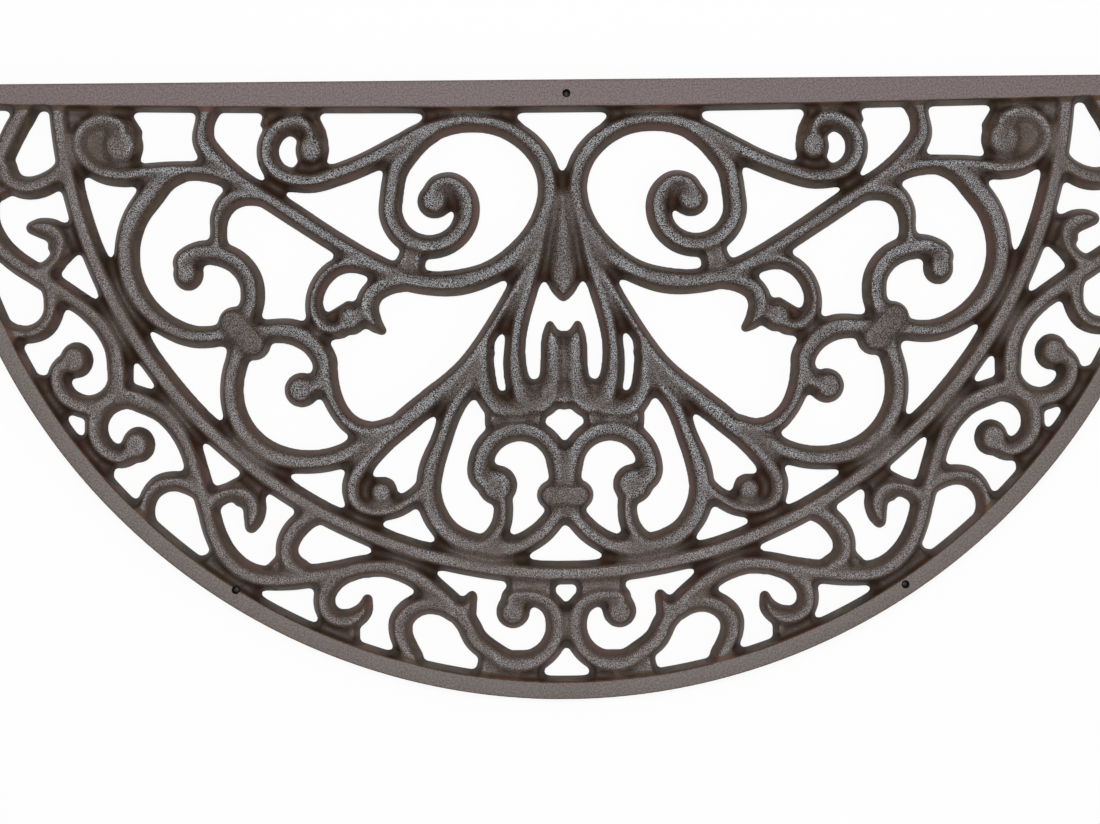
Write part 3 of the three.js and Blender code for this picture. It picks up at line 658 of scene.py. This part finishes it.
def casting_mesh(name, xs, ys, height, within):
    """One closed mesh: the height map cut along its outline, a wall down to the flat underside."""
    least = 0.1 * GRID  # keeps the outline off the grid points, so no triangle is a sliver
    within = np.where(within > 0, np.maximum(within, least), np.minimum(within, -least))
    rows, columns = within.shape
    index = np.arange(rows * columns).reshape(rows, columns)
    x = np.broadcast_to(xs[None, :], within.shape).ravel()
    y = np.broadcast_to(ys[:, None], within.shape).ravel()
    grid = np.stack([x, y, height.ravel()], axis=1)
    within = within.ravel()
    inside = within > 0

    def cuts(a, b, first):
        """Points where the outline crosses the grid lines from a to b, numbered from first."""
        crossed = inside[a] != inside[b]
        da = within[a][crossed]
        db = within[b][crossed]
        t = (da / (da - db))[:, None]
        pa, pb = grid[a[crossed]], grid[b[crossed]]
        number = np.full(a.shape, -1)
        number[crossed] = first + np.arange(crossed.sum())
        cut = pa + (pb - pa) * t
        cut[:, 2] = np.maximum(sampled(height, xs, ys, cut[:, 0], cut[:, 1]), LAND)
        return number, cut

    total = len(grid)
    across, across_cuts = cuts(index[:, :-1], index[:, 1:], total)
    total += len(across_cuts)
    up, up_cuts = cuts(index[:-1, :], index[1:, :], total)
    total += len(up_cuts)
    slant, slant_cuts = cuts(index[:-1, :-1], index[1:, 1:], total)
    total += len(slant_cuts)
    top = np.concatenate([grid, across_cuts, up_cuts, slant_cuts])

    # Each square of the grid is two triangles, and each keeps what lies inside the outline
    faces, rims = [], []
    lower = (index[:-1, :-1], index[:-1, 1:], index[1:, 1:], across[:-1], up[:, 1:], slant)
    upper = (index[:-1, :-1], index[1:, 1:], index[1:, :-1], slant, across[1:], up[:, :-1])
    for a, b, c, ab, bc, ca in (lower, upper):
        a, b, c, ab, bc, ca = (q.ravel() for q in (a, b, c, ab, bc, ca))
        corners, sides = (a, b, c), (ab, bc, ca)
        held = [inside[q] for q in corners]
        whole = held[0] & held[1] & held[2]
        faces.append(np.stack([q[whole] for q in corners], axis=1))
        for k in range(3):
            p, q, r = (corners[(k + n) % 3] for n in range(3))
            pq, qr, rp = (sides[(k + n) % 3] for n in range(3))
            in_p, in_q, in_r = (held[(k + n) % 3] for n in range(3))
            one = in_p & ~in_q & ~in_r
            faces.append(np.stack([p[one], pq[one], rp[one]], axis=1))
            rims.append(np.stack([pq[one], rp[one]], axis=1))
            two = in_p & in_q & ~in_r
            faces.append(np.stack([p[two], q[two], qr[two]], axis=1))
            faces.append(np.stack([p[two], qr[two], rp[two]], axis=1))
            rims.append(np.stack([qr[two], rp[two]], axis=1))
    faces = np.concatenate(faces)
    rims = np.concatenate(rims)

    used = np.zeros(total, bool)
    used[faces] = True
    renumber = np.cumsum(used) - 1
    top = top[used]  # only the points that a face uses
    faces = renumber[faces]
    rims = renumber[rims]
    count = len(top)
    bottom = top * [1, 1, 0]
    wall = np.concatenate([
        np.stack([rims[:, 0], rims[:, 0] + count, rims[:, 1] + count], axis=1),
        np.stack([rims[:, 0], rims[:, 1] + count, rims[:, 1]], axis=1),
    ])
    points = np.concatenate([top, bottom])
    points += [0, ARC_CENTRE_Y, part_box("mat_casting")[0].z / MM]
    faces = np.concatenate([faces, faces[:, ::-1] + count, wall])
    mesh = bpy.data.meshes.new(name)
    mesh.vertices.add(len(points))
    mesh.vertices.foreach_set("co", (points * MM).astype(np.float32).ravel())
    mesh.loops.add(faces.size)
    mesh.loops.foreach_set("vertex_index", faces.astype(np.int32).ravel())
    mesh.polygons.add(len(faces))
    mesh.polygons.foreach_set("loop_start", np.arange(0, faces.size, 3, dtype=np.int32))
    mesh.update(calc_edges=True)
    mesh.validate()
    return mesh


def apply_modifiers(obj):
    """Gives the object the mesh that its modifiers make."""
    evaluated = obj.evaluated_get(bpy.context.evaluated_depsgraph_get())
    mesh = bpy.data.meshes.new_from_object(evaluated)
    obj.modifiers.clear()
    old = obj.data
    obj.data = mesh
    bpy.data.meshes.remove(old)


def add_object(name, data):
    """A new object in the scene."""
    obj = bpy.data.objects.new(name, data)
    bpy.context.scene.collection.objects.link(obj)
    return obj


def colour(hex_code):
    """Linear colour of an sRGB hex code."""
    shares = [int(hex_code[i : i + 2], 16) / 255 for i in (0, 2, 4)]
    linear = [p / 12.92 if p <= 0.04045 else ((p + 0.055) / 1.055) ** 2.4 for p in shares]
    return (*linear, 1.0)


class Nodes:
    """Short calls for one material's node tree."""

    def __init__(self, name):
        self.material = bpy.data.materials.new(name)
        self.material.use_nodes = True
        self.tree = self.material.node_tree
        self.shader = self.tree.nodes["Principled BSDF"]
        self.output = self.tree.nodes["Material Output"]
        self.place = self.add("ShaderNodeTexCoord").outputs["Object"]

    def add(self, kind, inputs=None, **settings):
        """A new node; inputs are values or the outputs of other nodes."""
        node = self.tree.nodes.new(kind)
        for key, value in settings.items():
            setattr(node, key, value)
        for key, value in (inputs or {}).items():
            if isinstance(value, bpy.types.NodeSocket):
                self.tree.links.new(value, node.inputs[key])
            else:
                node.inputs[key].default_value = value
        return node

    def noise(self, size, detail=2.0, roughness=0.5):
        """Noise between 0 and 1 whose blobs are about this many millimetres across."""
        inputs = {"Vector": self.place, "Scale": 1 / (size * MM)}
        inputs |= {"Detail": detail, "Roughness": roughness}
        return self.add("ShaderNodeTexNoise", inputs).outputs["Fac"]

    def ramp(self, value, start, end, low=0.0, high=1.0):
        """low up to start, high from end, smooth between."""
        inputs = {"Value": value, "From Min": start, "From Max": end, "To Min": low, "To Max": high}
        node = self.add("ShaderNodeMapRange", inputs, interpolation_type="SMOOTHSTEP")
        return node.outputs["Result"]

    def attribute(self, name):
        """A value painted on the mesh's points."""
        return self.add("ShaderNodeAttribute", attribute_name=name).outputs["Fac"]

    def math(self, operation, a, b=0.0):
        return self.add("ShaderNodeMath", {0: a, 1: b}, operation=operation).outputs[0]

    def mix(self, factor, a, b, blend="MIX"):
        """Colour a changed towards b."""
        inputs = {0: factor, 6: a, 7: b}  # the node's factor and its two colour sockets
        return self.add("ShaderNodeMix", inputs, data_type="RGBA", blend_type=blend).outputs[2]

    def link(self, output, socket):
        self.tree.links.new(output, self.shader.inputs[socket])

    def bump(self, height, strength, depth):
        """Fine relief of this depth in millimetres."""
        inputs = {"Strength": strength, "Distance": depth * MM, "Height": height}
        self.link(self.add("ShaderNodeBump", inputs).outputs["Normal"], "Normal")


def iron_material():
    """Brown cast walls, grey speckled crowns and taupe flat tops, with painted shade and painted
    highlights.
    """
    n = Nodes("cast_iron")
    position = n.add("ShaderNodeSeparateXYZ", {0: n.place})
    level = position.outputs["Z"]
    facing = n.add("ShaderNodeSeparateXYZ", {0: n.add("ShaderNodeNewGeometry").outputs["Normal"]})
    up = facing.outputs["Z"]
    inside = n.attribute("inside_flat_top")
    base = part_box("mat_casting")[0].z
    grain = n.noise(GRAIN, 0.0)
    clump = n.noise(CLUMP, 2.0, 0.6)
    patch = n.noise(PATCH, 2.0)
    broad = n.noise(BROAD, 3.0)

    # Which kind of surface this is: crown, flat top, or else wall
    high = n.ramp(level, *(base + height * MM for height in CROWN_LEVEL))
    unframed = n.math("SUBTRACT", 1.0, n.ramp(inside, *FRAME_EDGE))
    crown = n.math("MULTIPLY", n.ramp(up, *CROWN_FACING), n.math("MULTIPLY", high, unframed))
    flat = n.math("MULTIPLY", n.ramp(inside, *FLAT_EDGE), n.ramp(up, 0.6, 0.9))

    # Walls: brown, with painted shade in the grooves and at the foot
    wall = n.mix(n.ramp(patch, 0.35, 0.65), colour(WALL_DARK), colour(WALL_LIGHT))
    wall = n.mix(n.ramp(broad, 0.45, 0.62), wall, colour(WALL_RED))
    groove_shade = n.ramp(n.attribute("hollow"), 0.1, 1.1, 0.0, 0.78)
    # painted shade at the foot of the walls, darkest at the underside
    foot = n.ramp(level, base, base + FOOT_SHADE_LEVEL * MM, 0.4, 0.0)
    wall = n.mix(n.math("MAXIMUM", groove_shade, foot), wall, colour(PAINTED_SHADE))

    # Crowns: speckled, grey with a painted highlight on the crests, browner with painted shade on
    # the shoulders below them, and browner in the border
    # speckle: the cast grain, its light grains painted as glints
    speckle = n.math("ADD", grain, n.math("MULTIPLY", clump, 0.15))
    speckle = n.ramp(speckle, *SPECKLE)
    top = n.mix(speckle, colour(CROWN_DARK), colour(CROWN_GRAIN_GLINT))
    top = n.mix(n.ramp(patch, 0.55, 0.75, 0.0, 0.3), top, colour(CROWN_WORN))
    shaded_shoulder = n.mix(speckle, colour(SHOULDER_SHADE_DARK), colour(SHOULDER_SHADE_LIGHT))
    # a painted highlight where the surface faces up on a crest, the shoulders' painted shade
    # elsewhere
    crest = n.ramp(n.attribute("crest"), 0.0, 1.0, 0.18, 1.0)
    top = n.mix(n.math("MULTIPLY", n.ramp(up, 0.82, 1.0), crest), shaded_shoulder, top)
    top = n.mix(n.ramp(n.noise(FADE), 0.38, 0.6, 0.3, 0.0), top, colour(WALL_DARK))
    centre = (0, ARC_CENTRE_Y * MM, 0)
    radius = n.add("ShaderNodeVectorMath", {0: n.place, 1: centre}, operation="DISTANCE")
    border = n.ramp(radius.outputs["Value"], *BORDER_START, 0.0, 0.38)
    top = n.mix(border, top, colour(CROWN_BROWN))
    # painted shade in the grooves between the crowns
    top = n.mix(groove_shade, top, colour(PAINTED_SHADE))

    # Flat tops: taupe, greyer on the rim
    face = n.mix(n.ramp(n.noise(1.0, 2.0), 0.3, 0.7), colour(FLAT_DARK), colour(FLAT_LIGHT))
    on_rim = n.ramp(position.outputs["Y"], *RIM_END, 1.0, 0.0)
    face = n.mix(on_rim, face, colour(RIM_TINT), "MULTIPLY")

    n.link(n.mix(flat, n.mix(crown, wall, top), face), "Base Color")
    n.shader.inputs["Specular IOR Level"].default_value = 0.16
    dull = n.math("MAXIMUM", flat, n.math("SUBTRACT", 1.0, crown))
    n.link(n.ramp(dull, 0.0, 1.0, 0.34, 0.5), "Roughness")
    height = n.math("MULTIPLY", n.math("ADD", grain, clump), n.ramp(crown, 0.0, 1.0, 0.2, 1.0))
    n.bump(height, 1.0, BUMP_DEPTH)
    return n.material


def rubber_material():
    """Black moulded rubber with a little dust on it."""
    n = Nodes("foot_rubber")
    dust = n.ramp(n.noise(2.5, 3.0, 0.6), 0.45, 0.75)
    n.link(n.mix(dust, colour("1b1a1a"), colour("2e2c2b")), "Base Color")
    n.link(n.ramp(dust, 0.0, 1.0, 0.6, 0.85), "Roughness")
    n.bump(n.noise(0.5, 2.0), 0.3, 0.1)
    return n.material


def floor_material():
    """White to the eye, with a soft shadow, and plain white card to the light."""
    n = Nodes("floor_white")
    n.shader.inputs["Base Color"].default_value = (*[FLOOR_SHADE] * 3, 1.0)
    n.shader.inputs["Roughness"].default_value = 0.9
    n.shader.inputs["Specular IOR Level"].default_value = 0.0
    path = n.add("ShaderNodeLightPath")
    seen = n.math("MAXIMUM", path.outputs["Is Camera Ray"], path.outputs["Is Glossy Ray"])
    seen = n.math("MAXIMUM", seen, path.outputs["Is Transmission Ray"])
    fill = (1 - SHADOW_SHARE * FLOOR_SHADE) / (1 - SHADOW_SHARE)  # brings the lit floor to white
    glow = n.add("ShaderNodeEmission", {"Color": (1.0, 1.0, 1.0, 1.0), "Strength": fill})
    share = n.math("MULTIPLY", seen, 1 - SHADOW_SHARE)
    both = n.add("ShaderNodeMixShader", {0: share, 1: n.shader.outputs[0], 2: glow.outputs[0]})
    n.tree.links.new(both.outputs[0], n.output.inputs["Surface"])
    return n.material


def make_casting():
    """The casting, with the values that its material reads."""
    xs, ys, height, within = cast_heights()
    casting = add_object("casting", casting_mesh("casting", xs, ys, height, within))
    decimate = casting.modifiers.new("decimate", "DECIMATE")
    decimate.ratio = TRIANGLES / len(casting.data.polygons)
    bpy.context.view_layer.update()
    apply_modifiers(casting)
    casting.data.shade_smooth()
    casting.data.set_sharp_from_angle(angle=math.radians(SHARP_ANGLE))
    casting.data.materials.append(iron_material())
    corners = np.empty(len(casting.data.vertices) * 3, np.float32)
    casting.data.vertices.foreach_get("co", corners)
    x, y = corners.reshape(-1, 3)[:, :2].T / MM
    y = y - ARC_CENTRE_Y
    solid = np.maximum(height, 0)
    crest = sampled(solid - blurred(solid, CREST_BLUR), xs, ys, x, y)
    painted = {
        "inside_flat_top": inside_flat_tops(x, y),
        # depth of the grooves, which sets their painted shade
        "hollow": sampled(closed(height, HOLLOW_BALL) - height, xs, ys, x, y),
        # height of the crests, which sets their painted highlight
        "crest": crest * np.where(inside_collars(x, y) > 0, COLLAR_CREST, 1),
    }
    for name, values in painted.items():
        layer = casting.data.attributes.new(name, "FLOAT", "POINT")
        layer.data.foreach_set("value", values.astype(np.float32))
    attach(casting, "root")
    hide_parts("mat_casting")


def lathe(name, profile, middle, segments=48):
    """A closed turned piece; profile holds (radius, height) in millimetres, from below upwards."""
    vertices, faces = [], []
    rings = profile[1:-1]
    x, y = middle
    for radius, height in rings:
        for k in range(segments):
            a = math.tau * k / segments
            vertices.append((x + radius * math.cos(a), y + radius * math.sin(a), height))
    low, high = len(vertices), len(vertices) + 1
    vertices += [(x, y, profile[0][1]), (x, y, profile[-1][1])]
    last = (len(rings) - 1) * segments
    for k in range(segments):
        after = (k + 1) % segments
        faces.append((low, after, k))
        for r in range(0, last, segments):
            faces.append((r + k, r + after, r + segments + after, r + segments + k))
        faces.append((last + k, last + after, high))
    mesh = bpy.data.meshes.new(name)
    mesh.from_pydata([Vector(v) * MM for v in vertices], [], faces)
    mesh.shade_smooth()
    mesh.set_sharp_from_angle(angle=math.radians(50))
    return add_object(name, mesh)


def make_feet():
    """Pad, neck and stem of each rubber foot."""
    rubber = rubber_material()
    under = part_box("mat_casting")[0].z / MM
    for node, low, high in feet():
        pad = (high.x - low.x) / 2 / MM
        top = high.z / MM
        profile = [
            # Hollow underside and the ring that stands on the step
            (0, 0.5), (pad - 2.4, 0.5), (pad - 2.0, 0.35), (pad - 1.8, 0.0), (pad - 0.7, 0.0),
            # Rounded side of the pad, and its top against the casting
            (pad - 0.25, 0.2), (pad, 0.7), (pad, under - 1.0), (pad - 0.3, under - 0.35),
            (pad - 1.0, under),
            # Neck, stem and rounded end
            (STEM + 0.5, under), (STEM + 0.1, under + 0.2), (STEM, under + 0.7), (STEM, top - 1.6),
            (STEM - 0.25, top - 0.8), (STEM - 0.8, top - 0.25), (STEM - 1.4, top - 0.05), (0, top),
        ]
        foot = lathe(node.replace("rubber_", ""), profile, middle_of(low, high))
        foot.data.materials.append(rubber)
        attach(foot, "root")
        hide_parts(node)


def make_floor():
    """A plain white floor, 8 m square."""
    mesh = bpy.data.meshes.new("floor")
    mesh.from_pydata([(-4, -4, 0), (4, -4, 0), (4, 4, 0), (-4, 4, 0)], [], [(0, 1, 2, 3)])
    mesh.materials.append(floor_material())
    add_object("floor", mesh)


def make_world():
    """White to the eye, and an even light from all round."""
    world = bpy.data.worlds.new("studio")
    bpy.context.scene.world = world
    world.use_nodes = True
    tree = world.node_tree
    path = tree.nodes.new("ShaderNodeLightPath")
    seen = path.outputs["Is Camera Ray"]
    for ray in ("Is Glossy Ray", "Is Transmission Ray"):
        either = tree.nodes.new("ShaderNodeMath")
        either.operation = "MAXIMUM"
        tree.links.new(seen, either.inputs[0])
        tree.links.new(path.outputs[ray], either.inputs[1])
        seen = either.outputs[0]
    strength = tree.nodes.new("ShaderNodeMapRange")
    strength.inputs["To Min"].default_value = WORLD_LEVEL
    strength.inputs["To Max"].default_value = 1.0
    tree.links.new(seen, strength.inputs["Value"])
    background = tree.nodes["Background"]
    background.inputs["Color"].default_value = (1.0, 1.0, 1.0, 1.0)
    tree.links.new(strength.outputs[0], background.inputs["Strength"])


def make_lamp(name, where, size, level):
    """A square soft lamp aimed at the mat, giving this share of a plain white level there."""
    where = Vector(where)
    distance = where.length
    data = bpy.data.lights.new(name, "AREA")
    data.shape = "SQUARE"
    data.size = size
    data.energy = level * math.pi**2 * distance**2 / (where.z / distance)
    lamp = add_object(name, data)
    lamp.location = where
    lamp.rotation_euler = (-where).to_track_quat("-Z", "Y").to_euler()


def make_camera():
    """Straight above the mat, with the photograph's frame."""
    data = bpy.data.cameras.new("camera")
    data.sensor_width = 36.0
    data.sensor_fit = "HORIZONTAL"
    data.lens = data.sensor_width * CAMERA_HEIGHT / PIXEL / PHOTO_WIDTH
    data.clip_end = 10.0
    camera = add_object("camera", data)
    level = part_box("mat_casting")[0].z
    camera.location = (CAMERA_X * MM, CAMERA_Y * MM, level + CAMERA_HEIGHT * MM)
    camera.rotation_euler = (0, 0, math.radians(ROLL))
    bpy.context.scene.camera = camera


make_camera()
make_world()
for lamp in LAMPS:
    make_lamp(*lamp)
make_floor()
make_casting()
make_feet()

bpy.context.scene.view_settings.view_transform = "Standard"
